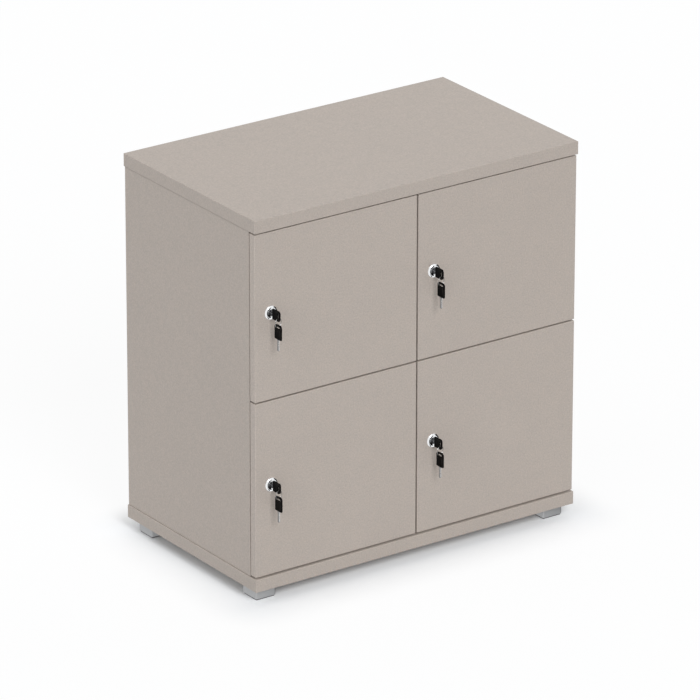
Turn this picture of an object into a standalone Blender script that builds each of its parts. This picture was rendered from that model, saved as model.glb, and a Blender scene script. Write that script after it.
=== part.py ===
"""Four-door wooden locker on square feet, with concealed hinges and cam locks, keys hanging in the locks.

Metres, +Z up. The doors face -Y and each hangs on its right-hand edge. The origin is on the floor, under
the middle of the locker's whole box, the keys that stand out in front of it included.

Places on a hinge are written as inward, from the door's hinge-side edge towards its middle, and deep, from
the closed door's front face towards the back. Places on a lock are deep from the same face.
"""

import math

import bmesh
import bpy
from mathutils import Matrix, Vector

# Boards and panels
BOARD_WIDTH = 0.710
BOARD_DEPTH = 0.420
BOARD_THICK = 0.025
CASE_HEIGHT = 0.715
PANEL_THICK = 0.018
SIDE_INSET = 0.0015
SHELF_HEIGHT = 0.366
EDGE_ROUND = 0.001
EDGE_STEPS = 2
BACK_THICK = 0.008
BACK_INSET = 0.010
GROOVE_DEPTH = 0.006

# Doors
DOOR_THICK = 0.016
DOOR_SETBACK = 0.003
DOOR_GAP = 0.003
DOOR_SEAM = 0.002

# Feet
FOOT_SIDE = 0.043
FOOT_HEIGHT = 0.025
FOOT_END_INSET = 0.0125
FOOT_FACE_INSET = 0.0185
FOOT_ROUND = 0.003
FOOT_CHAMFER = 0.0008
PAD_THICK = 0.002
PAD_INSET = 0.0015

# Hinges: the cup in the door, the arm on the panel and the link between their pins
HINGE_PLACE_SHARE = 0.25
CUP_RADIUS = 0.0175
CUP_FROM_EDGE = 0.005
CUP_DEPTH = 0.0117
CUP_FLOOR = 0.0008
RIM_WIDTH = 0.0008
RIM_THICK = 0.0008
FLANGE_LENGTH = 0.062
FLANGE_WIDTH = 0.020
FLANGE_THICK = 0.001
FLANGE_ROUND = 0.008
POCKET_NEAR = 0.0022
POCKET_LENGTH = 0.0298
POCKET_WIDTH = 0.014
POCKET_ROUND = 0.0018
DOOR_PIN_INWARD = 0.010
DOOR_PIN_BELOW = 0.003
DOOR_PIN_RADIUS = 0.0011
ARM_PIN_INWARD = 0.035
ARM_PIN_BEHIND = 0.010
ARM_PIN_RADIUS = 0.0013
PIN_CLEARANCE = 0.00025
PIN_HOLD = 0.0012
EYE_WALL = 0.00115
LINK_WIDTH = 0.010
LINK_THICK = 0.0024
LINK_RISE = 0.0064
LINK_BEND = 0.0026
ARM_WIDTH = 0.016
ARM_HEIGHT = 0.0095
ARM_REACH = 0.066
ARM_SIDE_CLEARANCE = 0.0004
ARM_NECK_LENGTH = 0.020
ARM_ROUND = 0.004
CHANNEL_WALL = 0.0025
CHANNEL_LENGTH = 0.026
CHANNEL_DEPTH = 0.006
PLATE_THICK = 0.0027
PLATE_LENGTH = 0.048
PLATE_WIDTH = 0.018
PLATE_ROUND = 0.006
PLATE_SETBACK = 0.037

# Locks
LOCK_FROM_EDGE = 0.034
LOCK_ABOVE_MIDDLE = 0.007
ROSETTE_RADIUS = 0.0135
ROSETTE_HEIGHT = 0.0034
ROSETTE_DISH = 0.0020
ROSETTE_CREST_SHARE = 0.86
ROSETTE_FLOOR_SHARE = 0.62
ROSETTE_EDGE_SHARE = 0.9
BARREL_RADIUS = 0.0090
BARREL_DEPTH = 0.0265
PLUG_RADIUS = 0.0063
PLUG_RECESS = 0.0004
SPINDLE_RADIUS = 0.0045
NUT_FLATS = 0.022
NUT_THICK = 0.004
CAM_THICK = 0.0022
CAM_WIDTH = 0.012
CAM_TIP_SHARE = 0.85
CAM_BITE = 0.007
CAM_GAP = 0.002
CAM_SCREW_RADIUS = 0.0042
CAM_SCREW_HEIGHT = 0.0018
SLOT_CLEARANCE = 0.0019
LOCK_CLEARANCE = 0.0003

# Keys and their rings
HEAD_LENGTH = 0.0245
HEAD_WIDTH = 0.020
HEAD_THICK = 0.0032
HEAD_ROUND = 0.005
HEAD_HEEL_ROUND = 0.0032
HEAD_CHAMFER = 0.0005
NECK_LENGTH = 0.0015
NECK_WIDTH = 0.008
SHOULDER_LENGTH = 0.004
SHOULDER_WIDTH = 0.0065
BLADE_LENGTH = 0.024
BLADE_WIDTH = 0.0050
BLADE_THICK = 0.0022
BLADE_TIP = 0.0016
NOTCH_DEPTH_SHARES = (0.12, 0.22, 0.08)
NOTCH_FLAT_SHARE = 0.3
HOLE_FROM_END = 0.0055
HOLE_LENGTH = 0.011
HOLE_WIDTH = 0.0032
RING_RADIUS = 0.0088
RING_WIRE = 0.0007
RING_PLAY = 0.0013
SPARE_PLAY = 0.0006

# Clearances and facets
SEAT_GAP = 0.0003
OVERRUN = 0.002
ROUND_END_SHARE = 0.99
CORNER_STEPS = 3
EASED_STEPS = 2
ROUND_STEPS = 20
SMALL_STEPS = 10
SCREW_STEPS = 8
WIRE_STEPS = 6
SHARP_ANGLE = math.radians(35)
MERGE = 1e-7

# Places that follow from the sizes
KEY_END = ROSETTE_HEIGHT + NECK_LENGTH + HEAD_LENGTH
HOLE_FRONT = KEY_END - HOLE_FROM_END
FRONT_REACH = max(KEY_END, HOLE_FRONT + HEAD_WIDTH / 2) - DOOR_SETBACK
BOARD_FRONT = (FRONT_REACH - BOARD_DEPTH) / 2
BOARD_BACK = BOARD_FRONT + BOARD_DEPTH
DOOR_FRONT = BOARD_FRONT + DOOR_SETBACK
PANEL_FRONT = DOOR_FRONT + DOOR_THICK + DOOR_SEAM
PANEL_BACK = BOARD_BACK - SIDE_INSET
BACK_FRONT = BOARD_BACK - BACK_INSET - BACK_THICK
BASE_TOP = FOOT_HEIGHT + BOARD_THICK
TOP_UNDER = FOOT_HEIGHT + CASE_HEIGHT - BOARD_THICK
SHELF_MIDDLE = FOOT_HEIGHT + SHELF_HEIGHT
CASE_END = BOARD_WIDTH / 2 - SIDE_INSET
SIDE_FACE = CASE_END - PANEL_THICK
PARTITION_FACE = PANEL_THICK / 2
DOOR_WIDTH = CASE_END - DOOR_GAP / 2
LOWER_DOOR = (BASE_TOP + DOOR_GAP, SHELF_MIDDLE - DOOR_GAP / 2)
UPPER_DOOR = (SHELF_MIDDLE + DOOR_GAP / 2, TOP_UNDER - DOOR_GAP)
FULL_OVERLAY = PANEL_THICK
HALF_OVERLAY = PARTITION_FACE - DOOR_GAP / 2
SEAM_DEEP = DOOR_THICK + DOOR_SEAM
CAM_DEEP = BARREL_DEPTH + CAM_GAP
CUP_INWARD = CUP_FROM_EDGE + CUP_RADIUS
DOOR_PIN = Vector((-DOOR_PIN_INWARD, DOOR_THICK - DOOR_PIN_BELOW))
ARM_PIN = Vector((-ARM_PIN_INWARD, DOOR_THICK + ARM_PIN_BEHIND))


# Meshes
def finished(bm):
    """The bmesh as a mesh, its faces turned outwards."""
    bmesh.ops.recalc_face_normals(bm, faces=bm.faces)
    mesh = bpy.data.meshes.new("shape")
    bm.to_mesh(mesh)
    bm.free()
    return mesh


def loft(loops):
    """A closed solid through loops of as many points each, capped at both ends."""
    bm = bmesh.new()
    rings = [[bm.verts.new(point) for point in loop] for loop in loops]
    for lower, upper in zip(rings, rings[1:]):
        for k in range(len(lower)):
            bm.faces.new((lower[k - 1], lower[k], upper[k], upper[k - 1]))
    bm.faces.new(rings[0])
    bm.faces.new(rings[-1])
    return finished(bm)


def lifted(outline, height, along):
    """The outline's points in space, at that height on the axis it is extruded along."""
    if along == "X":
        return [(height, a, b) for a, b in outline]
    if along == "Y":
        return [(a, height, b) for a, b in outline]
    return [(a, b, height) for a, b in outline]


def prism(outline, low, high, along="Z"):
    """The outline extruded from low to high along an axis."""
    return loft([lifted(outline, low, along), lifted(outline, high, along)])


def turned(profile, steps, hollow=False):
    """The profile of (radius, place) points turned about the Y axis; a hollow one closes on itself."""
    bm = bmesh.new()
    points = [bm.verts.new((radius, place, 0)) for radius, place in profile]
    lines = [bm.edges.new(pair) for pair in zip(points, points[1:])]
    if hollow:
        lines.append(bm.edges.new((points[-1], points[0])))
    bmesh.ops.spin(bm, geom=points + lines, axis=(0, 1, 0), angle=math.tau, steps=steps, use_merge=True)
    bmesh.ops.remove_doubles(bm, verts=bm.verts, dist=MERGE)
    return finished(bm)


def rod(radius, low, high, steps=SMALL_STEPS):
    """A round bar along Z."""
    circle = [(radius * math.cos(a), radius * math.sin(a)) for a in angles(steps)]
    return prism(circle, low, high)


def angles(steps):
    """Evenly spaced angles round a circle."""
    return [math.tau * k / steps for k in range(steps)]


def moved(mesh, place, turn=None):
    """The mesh turned about its origin and then moved."""
    if turn:
        mesh.transform(turn)
    mesh.transform(Matrix.Translation(place))
    return mesh


def combined(base, joined=(), cuts=(), late=()):
    """One solid: base with the joined meshes, less the cuts, and with the late meshes added last."""
    body = bpy.data.objects.new("body", base)
    bpy.context.collection.objects.link(body)
    helpers = []
    steps = [("UNION", m) for m in joined] + [("DIFFERENCE", m) for m in cuts] + [("UNION", m) for m in late]
    for operation, mesh in steps:
        helper = bpy.data.objects.new("helper", mesh)
        bpy.context.collection.objects.link(helper)
        helpers.append(helper)
        modifier = body.modifiers.new(operation, "BOOLEAN")
        modifier.operation = operation
        modifier.solver = "EXACT"
        modifier.object = helper
    evaluated = body.evaluated_get(bpy.context.evaluated_depsgraph_get())
    result = bpy.data.meshes.new_from_object(evaluated)
    for item in [body] + helpers:
        bpy.data.objects.remove(item)
    return result


# Outlines
def rectangle(low, high):
    """The four corners between two opposite ones, counter-clockwise."""
    return [(low[0], low[1]), (high[0], low[1]), (high[0], high[1]), (low[0], high[1])]


def rounded(corners, radii, steps=CORNER_STEPS):
    """The outline with its corners rounded: one radius for all of them, or one for each."""
    if not isinstance(radii, (list, tuple)):
        radii = [radii] * len(corners)
    points = []
    for k, radius in enumerate(radii):
        corner = Vector(corners[k])
        if not radius:
            points.append(tuple(corner))
            continue
        before = (Vector(corners[k - 1]) - corner).normalized()
        after = (Vector(corners[(k + 1) % len(corners)]) - corner).normalized()
        half = before.angle(after) / 2
        centre = corner + (before + after).normalized() * radius / math.sin(half)
        start = corner + before * radius / math.tan(half) - centre
        end = corner + after * radius / math.tan(half) - centre
        sweep = math.atan2(start.x * end.y - start.y * end.x, start.dot(end))
        for n in range(steps + 1):
            points.append(tuple(centre + Matrix.Rotation(sweep * n / steps, 2) @ start))
    return points


def centred(width, height, middle=(0, 0)):
    """A rectangle about a middle point."""
    return rectangle(
        (middle[0] - width / 2, middle[1] - height / 2),
        (middle[0] + width / 2, middle[1] + height / 2),
    )


# Objects
def material(name, colour, roughness, metallic=0.0):
    """A plain finish."""
    finish = bpy.data.materials.new(name)
    finish.use_nodes = True
    shader = finish.node_tree.nodes["Principled BSDF"]
    shader.inputs["Base Color"].default_value = (*colour, 1.0)
    shader.inputs["Roughness"].default_value = roughness
    shader.inputs["Metallic"].default_value = metallic
    return finish


def pivot(name, place, parent=None):
    """An empty on a joint's axis, which carries what turns or slides with it."""
    empty = bpy.data.objects.new(name, None)
    bpy.context.collection.objects.link(empty)
    empty["place"] = tuple(place)
    hang(empty, place, parent)
    return empty


def hang(item, place, parent):
    """Puts an object at a place in space, under its parent."""
    start = Vector(parent["place"]) if parent else Vector()
    item.parent = parent
    item.location = Vector(place) - start


def add(name, mesh, finish, place=(0, 0, 0), parent=None, turn=(0, 0, 0)):
    """One named piece."""
    item = bpy.data.objects.new(name, mesh)
    bpy.context.collection.objects.link(item)
    if not mesh.materials:
        mesh.materials.append(finish)
        mesh.shade_smooth()
        mesh.set_sharp_from_angle(angle=SHARP_ANGLE)
    item.rotation_euler = turn
    hang(item, place, parent)
    return item


# Boards
def board(low, high):
    """A board between two corners, with its edges eased."""
    slab = bpy.data.objects.new("slab", prism(rectangle(low, high), low[2], high[2]))
    bpy.context.collection.objects.link(slab)
    ease = slab.modifiers.new("ease", "BEVEL")
    ease.width = EDGE_ROUND
    ease.segments = EDGE_STEPS
    result = bpy.data.meshes.new_from_object(slab.evaluated_get(bpy.context.evaluated_depsgraph_get()))
    bpy.data.objects.remove(slab)
    return result


def back_groove(low, high):
    """The cut that a board or side panel has for the edge of the back panel."""
    return prism(
        rectangle((low[0], BACK_FRONT - SEAT_GAP), (high[0], BACK_FRONT + BACK_THICK + SEAT_GAP)),
        low[1],
        high[1],
    )


def cam_slot(face, side, door):
    """The slot milled into a panel beside a lock, where the cam enters as it turns up from below."""
    middle = lock_height(door)
    rise = CAM_WIDTH / 2 + SLOT_CLEARANCE
    drop = math.sqrt(cam_reach(abs(side)) ** 2 - abs(side) ** 2) + rise
    half = CAM_THICK / 2 + SLOT_CLEARANCE
    deep = DOOR_FRONT + CAM_DEEP
    corners = rectangle((deep - half, middle - drop), (deep + half, middle + rise))
    outline = rounded(corners, half * ROUND_END_SHARE)
    return prism(outline, face - CAM_BITE - SLOT_CLEARANCE, face + OVERRUN, "X")


def make_carcass(wood):
    """Top and base boards, three upright panels, two shelves and the back panel."""
    end = BOARD_WIDTH / 2
    groove_low = -SIDE_FACE - GROOVE_DEPTH
    groove_high = -groove_low
    for name, low, high, under in (
        ("base_board", FOOT_HEIGHT, BASE_TOP, BASE_TOP - GROOVE_DEPTH),
        ("top_board", TOP_UNDER, FOOT_HEIGHT + CASE_HEIGHT, TOP_UNDER - OVERRUN),
    ):
        slab = board((-end, BOARD_FRONT, low), (end, BOARD_BACK, high))
        groove = back_groove((groove_low, under), (groove_high, under + GROOVE_DEPTH + OVERRUN))
        add(name, combined(slab, cuts=[groove]), wood)
    upright = (BASE_TOP + SEAT_GAP, TOP_UNDER - SEAT_GAP)
    cut = (upright[0] - OVERRUN, upright[1] + OVERRUN)
    slots = [cam_slot(-SIDE_FACE, LOCK_FROM_EDGE - FULL_OVERLAY, d) for d in (LOWER_DOOR, UPPER_DOOR)]
    left = board((-CASE_END, PANEL_FRONT, upright[0]), (-SIDE_FACE, PANEL_BACK, upright[1]))
    groove = back_groove((groove_low, cut[0]), (-SIDE_FACE + OVERRUN, cut[1]))
    add("left_side", combined(left, cuts=[groove] + slots), wood)
    right = board((SIDE_FACE, PANEL_FRONT, upright[0]), (CASE_END, PANEL_BACK, upright[1]))
    groove = back_groove((SIDE_FACE - OVERRUN, cut[0]), (groove_high, cut[1]))
    add("right_side", combined(right, cuts=[groove]), wood)
    inner_back = BACK_FRONT - SEAT_GAP
    slots = [cam_slot(PARTITION_FACE, partition_lock_side(), d) for d in (LOWER_DOOR, UPPER_DOOR)]
    middle = board((-PARTITION_FACE, PANEL_FRONT, upright[0]), (PARTITION_FACE, inner_back, upright[1]))
    add("centre_partition", combined(middle, cuts=slots), wood)
    shelf = (SHELF_MIDDLE - PANEL_THICK / 2, SHELF_MIDDLE + PANEL_THICK / 2)
    for name, low, high in (
        ("left_shelf", -SIDE_FACE, -PARTITION_FACE),
        ("right_shelf", PARTITION_FACE, SIDE_FACE),
    ):
        add(
            name,
            board((low + SEAT_GAP, PANEL_FRONT, shelf[0]), (high - SEAT_GAP, inner_back, shelf[1])),
            wood,
        )
    reach = GROOVE_DEPTH - SEAT_GAP
    back = board(
        (-SIDE_FACE - reach, BACK_FRONT, BASE_TOP - reach),
        (SIDE_FACE + reach, BACK_FRONT + BACK_THICK, TOP_UNDER + reach),
    )
    add("back_panel", back, wood)


def make_feet(finish):
    """Four square feet with rounded corners, each on a thin pad."""
    def loop(inset, height):
        side = FOOT_SIDE - 2 * inset
        return lifted(rounded(centred(side, side), FOOT_ROUND - inset, EASED_STEPS), height, "Z")

    top = FOOT_HEIGHT - SEAT_GAP
    foot = loft([
        loop(PAD_INSET, 0),
        loop(PAD_INSET, PAD_THICK),
        loop(FOOT_CHAMFER, PAD_THICK),
        loop(0, PAD_THICK + FOOT_CHAMFER),
        loop(0, top),
    ])
    x = BOARD_WIDTH / 2 - FOOT_END_INSET - FOOT_SIDE / 2
    front = BOARD_FRONT + FOOT_FACE_INSET + FOOT_SIDE / 2
    back = BOARD_BACK - FOOT_FACE_INSET - FOOT_SIDE / 2
    for row, y in (("front", front), ("back", back)):
        for side, sign in (("left", -1), ("right", 1)):
            add(f"{row}_{side}_foot", foot, finish, (sign * x, y, 0))


# Hinges
def door_heights(door):
    """The heights of a door's lower and upper hinge."""
    from_end = (door[1] - door[0]) * HINGE_PLACE_SHARE
    return {"bottom": door[0] + from_end, "top": door[1] - from_end}


def on(pin, inward, deep):
    """A place on the hinge, counted from one of its pins."""
    return Vector((-inward, deep)) - pin


def hinge_cup():
    """The round cup let into the door, with its flange, its rectangular pocket and the pin across it."""
    back = DOOR_THICK + SEAT_GAP
    middle = on(DOOR_PIN, CUP_INWARD, 0)
    bowl = [
        (0, DOOR_THICK - CUP_DEPTH),
        (CUP_RADIUS, DOOR_THICK - CUP_DEPTH),
        (CUP_RADIUS, back),
        (CUP_RADIUS + RIM_WIDTH, back),
        (CUP_RADIUS + RIM_WIDTH, back + RIM_THICK),
        (0, back + RIM_THICK),
    ]
    bowl = moved(turned(bowl, ROUND_STEPS), (middle.x, middle.y, 0))
    face = back + FLANGE_THICK + middle.y
    plan = rounded(centred(FLANGE_WIDTH, FLANGE_LENGTH, (middle.x, 0)), FLANGE_ROUND)
    flange = prism(plan, back + middle.y, face, "Y")
    near = on(DOOR_PIN, CUP_FROM_EDGE + POCKET_NEAR, 0)
    opening = rectangle((near.x - POCKET_LENGTH, -POCKET_WIDTH / 2), (near.x, POCKET_WIDTH / 2))
    floor = DOOR_THICK - CUP_DEPTH + CUP_FLOOR + middle.y
    pocket = prism(rounded(opening, POCKET_ROUND, EASED_STEPS), floor, face + OVERRUN, "Y")
    hold = POCKET_WIDTH / 2 + PIN_HOLD
    return combined(bowl, [flange], [pocket], [rod(DOOR_PIN_RADIUS, -hold, hold)])


def hinge_link():
    """The gooseneck link, an eye at each end. It rises from the door's pin over the cup's rim when open."""
    start = DOOR_PIN - ARM_PIN
    along = -start.normalized()
    across = Vector((-along.y, along.x))
    rise = start + across * LINK_RISE
    leg = (rise - start).normalized()
    run = -rise.normalized()
    leg_side = Vector((-leg.y, leg.x)) * LINK_THICK / 2
    run_side = Vector((-run.y, run.x)) * LINK_THICK / 2
    mitre = (leg_side + run_side) / (1 + leg_side.dot(run_side) / leg_side.length_squared)
    outline = rounded(
        [start - leg_side, rise - mitre, -run_side, run_side, rise + mitre, start + leg_side],
        [0, LINK_BEND - LINK_THICK / 2, 0, 0, LINK_BEND + LINK_THICK / 2, 0],
    )
    half = LINK_WIDTH / 2
    place = (start.x, start.y, 0)
    door_hole = DOOR_PIN_RADIUS + PIN_CLEARANCE
    arm_hole = ARM_PIN_RADIUS + PIN_CLEARANCE
    door_eye = moved(rod(door_hole + EYE_WALL, -half, half), place)
    arm_eye = rod(arm_hole + EYE_WALL, -half, half)
    bores = [
        moved(rod(door_hole, -half - OVERRUN, half + OVERRUN), place),
        rod(arm_hole, -half - OVERRUN, half + OVERRUN),
    ]
    return combined(prism(outline, -half, half), [door_eye, arm_eye], bores)


def hinge_arm(overlay):
    """The arm on its mounting plate, cranked to where the overlay puts the panel, with two ears and a pin."""
    eye = ARM_PIN_RADIUS + PIN_CLEARANCE + EYE_WALL
    clear = eye + PIN_CLEARANCE * 2
    half = ARM_WIDTH / 2
    panel = on(ARM_PIN, overlay + SEAT_GAP, SEAM_DEEP)
    floor = panel.x - PLATE_THICK / 2
    crown = panel.x - PLATE_THICK - ARM_HEIGHT
    neck = clear + ARM_NECK_LENGTH
    outline = rounded(
        [
            (floor, ARM_REACH),
            (crown, ARM_REACH),
            (crown, neck),
            (-eye, clear),
            (eye, clear),
            (floor, neck - ARM_HEIGHT / 2),
        ],
        [0, ARM_ROUND, ARM_ROUND, 0, 0, ARM_ROUND],
        EASED_STEPS,
    )
    end = ARM_REACH - CHANNEL_WALL
    trough = rectangle((crown - OVERRUN, end - CHANNEL_LENGTH), (crown + CHANNEL_DEPTH, end))
    channel = prism(trough, CHANNEL_WALL - half, half - CHANNEL_WALL)
    inner = LINK_WIDTH / 2 + ARM_SIDE_CLEARANCE
    ears = [
        prism(ear_outline(eye, clear), low, high)
        for low, high in ((inner, half), (-half, -inner))
    ]
    plate_middle = panel.y + PLATE_SETBACK
    footprint = rounded(centred(PLATE_WIDTH, PLATE_LENGTH, (plate_middle, 0)), PLATE_ROUND, EASED_STEPS)
    plate = prism(footprint, panel.x - PLATE_THICK, panel.x, "X")
    pin = rod(ARM_PIN_RADIUS, -inner - PIN_HOLD, inner + PIN_HOLD)
    return combined(prism(outline, -half, half), [plate], [channel], ears + [pin])


def ear_outline(radius, back):
    """One ear of the arm: half round about the pin, and straight back into the neck."""
    arc = [math.pi * (1 + k / (2 * CORNER_STEPS)) for k in range(2 * CORNER_STEPS + 1)]
    nose = [(radius * math.cos(a), radius * math.sin(a)) for a in arc]
    return nose + [(radius, back + EYE_WALL), (-radius, back + EYE_WALL)]


# Doors
def make_door(height, lock_place):
    """A door about its hinge pins' axis, with the holes for its two hinge cups and its lock."""
    low = on(DOOR_PIN, DOOR_WIDTH, 0)
    high = on(DOOR_PIN, 0, DOOR_THICK)
    slab = board((low.x, low.y, -height / 2), (high.x, high.y, height / 2))
    middle = on(DOOR_PIN, CUP_INWARD, DOOR_THICK)
    hole = [
        (0, -CUP_DEPTH - SEAT_GAP),
        (CUP_RADIUS + SEAT_GAP, -CUP_DEPTH - SEAT_GAP),
        (CUP_RADIUS + SEAT_GAP, OVERRUN),
        (0, OVERRUN),
    ]
    cuts = [
        moved(turned(hole, ROUND_STEPS), (middle.x, middle.y, place))
        for place in door_heights((-height / 2, height / 2)).values()
    ]
    through = [
        (0, -OVERRUN),
        (BARREL_RADIUS + SEAT_GAP, -OVERRUN),
        (BARREL_RADIUS + SEAT_GAP, DOOR_THICK + OVERRUN),
        (0, DOOR_THICK + OVERRUN),
    ]
    cuts.append(moved(turned(through, ROUND_STEPS), (low.x + LOCK_FROM_EDGE, low.y, lock_place)))
    return combined(slab, cuts=cuts)


# Locks
def lock_height(door):
    """The height of the lock in a door that runs between two heights."""
    return (door[0] + door[1]) / 2 + LOCK_ABOVE_MIDDLE


def partition_lock_side():
    """How far the lock of a right-hand door is from the partition's face."""
    return DOOR_GAP / 2 + LOCK_FROM_EDGE - PARTITION_FACE


def cam_reach(side):
    """The length of a cam that bites into a panel whose face is that far to the side of the lock."""
    return side + CAM_BITE


def lock_housing():
    """The dished rosette and the barrel behind it in one, with the nut that draws it to the door."""
    crest = ROSETTE_RADIUS * ROSETTE_CREST_SHARE
    floor = ROSETTE_RADIUS * ROSETTE_FLOOR_SHARE
    bore = PLUG_RADIUS + LOCK_CLEARANCE
    rim = (ROSETTE_RADIUS + crest) / 2
    profile = [
        (ROSETTE_RADIUS, -SEAT_GAP),
        (ROSETTE_RADIUS, -ROSETTE_HEIGHT / 2),
        (rim, -ROSETTE_HEIGHT * ROSETTE_EDGE_SHARE),
        (crest, -ROSETTE_HEIGHT),
        (floor, ROSETTE_DISH - ROSETTE_HEIGHT),
        (bore, ROSETTE_DISH - ROSETTE_HEIGHT),
        (bore, BARREL_DEPTH),
        (BARREL_RADIUS, BARREL_DEPTH),
        (BARREL_RADIUS, -SEAT_GAP),
    ]
    corner = NUT_FLATS / math.sqrt(3)
    wall = BARREL_RADIUS - bore
    low = DOOR_THICK + SEAT_GAP
    outer = [(corner * math.cos(a), corner * math.sin(a)) for a in angles(6)]
    nut = prism(outer, low, low + NUT_THICK, "Y")
    inside = BARREL_RADIUS - wall / 2
    start, end = low - OVERRUN, low + NUT_THICK + OVERRUN
    hole = turned([(0, start), (inside, start), (inside, end), (0, end)], ROUND_STEPS)
    return combined(turned(profile, ROUND_STEPS, hollow=True), [combined(nut, cuts=[hole])])


def lock_plug(side):
    """The plug with its keyway, its spindle and the cam, which hangs down while the door is unlocked."""
    face = ROSETTE_DISH - ROSETTE_HEIGHT + PLUG_RECESS
    cam_front = CAM_DEEP - CAM_THICK / 2
    cam_back = CAM_DEEP + CAM_THICK / 2
    shoulder = cam_front - LOCK_CLEARANCE * 2
    shaft = [
        (0, face),
        (PLUG_RADIUS, face),
        (PLUG_RADIUS, BARREL_DEPTH),
        (SPINDLE_RADIUS, BARREL_DEPTH),
        (SPINDLE_RADIUS, shoulder + CAM_THICK / 2),
        (0, shoulder + CAM_THICK / 2),
    ]
    reach = cam_reach(side)
    root = CAM_WIDTH / 2
    tip = root * CAM_TIP_SHARE
    outline = rounded(
        [(-root, root), (-tip, -reach), (tip, -reach), (root, root)],
        [root / 2, tip / 2, tip / 2, root / 2],
        EASED_STEPS,
    )
    cam = prism(outline, cam_front, cam_back, "Y")
    screw_end = cam_back + CAM_SCREW_HEIGHT
    screw = [(0, cam_front), (CAM_SCREW_RADIUS, cam_front), (CAM_SCREW_RADIUS, screw_end), (0, screw_end)]
    width = BLADE_THICK + 2 * LOCK_CLEARANCE
    height = SHOULDER_WIDTH + 2 * LOCK_CLEARANCE
    keyway = prism(
        centred(width, height), face - OVERRUN, BLADE_LENGTH - ROSETTE_HEIGHT + LOCK_CLEARANCE, "Y"
    )
    return combined(turned(shaft, ROUND_STEPS), [cam, turned(screw, SCREW_STEPS)], [keyway])


# Keys
def blade_outline():
    """The blade seen from its side: a shoulder, then a narrower edge with notches, and a tapered tip."""
    half = BLADE_WIDTH / 2
    shoulder = SHOULDER_WIDTH / 2
    edge = [(0, shoulder), (0, -shoulder), (SHOULDER_LENGTH, -shoulder), (SHOULDER_LENGTH, -half)]
    pitch = (BLADE_LENGTH - SHOULDER_LENGTH - BLADE_TIP) / (len(NOTCH_DEPTH_SHARES) + 1)
    for k, share in enumerate(NOTCH_DEPTH_SHARES):
        middle = SHOULDER_LENGTH + pitch * (k + 1)
        bottom = share * BLADE_WIDTH - half
        flat = pitch * NOTCH_FLAT_SHARE / 2
        slope = share * BLADE_WIDTH
        edge += [(middle - flat - slope, -half), (middle - flat, bottom)]
        edge += [(middle + flat, bottom), (middle + flat + slope, -half)]
    taper = BLADE_LENGTH - BLADE_TIP
    edge += [(taper, -half), (BLADE_LENGTH, BLADE_TIP - half), (BLADE_LENGTH, half - BLADE_TIP)]
    edge += [(taper, half), (SHOULDER_LENGTH, half), (SHOULDER_LENGTH, shoulder)]
    return edge


def make_key():
    """A key about the middle of its head's hole: head towards -Y, blade towards +Y, its flat facing X."""
    near = HOLE_FROM_END - HEAD_LENGTH
    head_low, head_high = -HOLE_FROM_END, -near
    corners = rectangle((head_low, -HEAD_WIDTH / 2), (head_high, HEAD_WIDTH / 2))
    inner = rectangle(
        (head_low + HEAD_CHAMFER, HEAD_CHAMFER - HEAD_WIDTH / 2),
        (head_high - HEAD_CHAMFER, HEAD_WIDTH / 2 - HEAD_CHAMFER),
    )
    radii = (HEAD_ROUND, HEAD_HEEL_ROUND, HEAD_HEEL_ROUND, HEAD_ROUND)
    full = rounded(corners, radii, EASED_STEPS)
    eased = rounded(inner, [radius - HEAD_CHAMFER for radius in radii], EASED_STEPS)
    half = HEAD_THICK / 2
    head = loft([
        lifted(eased, -half, "X"),
        lifted(full, HEAD_CHAMFER - half, "X"),
        lifted(full, half - HEAD_CHAMFER, "X"),
        lifted(eased, half, "X"),
    ])
    neck_half = half - HEAD_CHAMFER
    start = head_high + NECK_LENGTH
    sides = rectangle((head_high - HEAD_HEEL_ROUND, -NECK_WIDTH / 2), (start, NECK_WIDTH / 2))
    neck = prism(sides, -neck_half, neck_half, "X")
    outline = [(start + u, v) for u, v in blade_outline()]
    outline = [(u - NECK_LENGTH / 2 if u <= start else u, v) for u, v in outline]
    blade = prism(outline, -BLADE_THICK / 2, BLADE_THICK / 2, "X")
    slot = rounded(centred(HOLE_WIDTH, HOLE_LENGTH), HOLE_WIDTH / 2 * ROUND_END_SHARE)
    hole = prism(slot, -half - OVERRUN, half + OVERRUN, "X")
    return combined(head, [neck, blade], [hole])


def make_ring():
    """The key ring, a loop of wire about Y."""
    bm = bmesh.new()
    circle = [
        bm.verts.new((RING_RADIUS + RING_WIRE * math.cos(a), RING_WIRE * math.sin(a), 0))
        for a in angles(WIRE_STEPS)
    ]
    lines = [bm.edges.new((circle[k - 1], circle[k])) for k in range(len(circle))]
    bmesh.ops.spin(bm, geom=circle + lines, axis=(0, 1, 0), angle=math.tau, steps=ROUND_STEPS, use_merge=True)
    return finished(bm)


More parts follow.
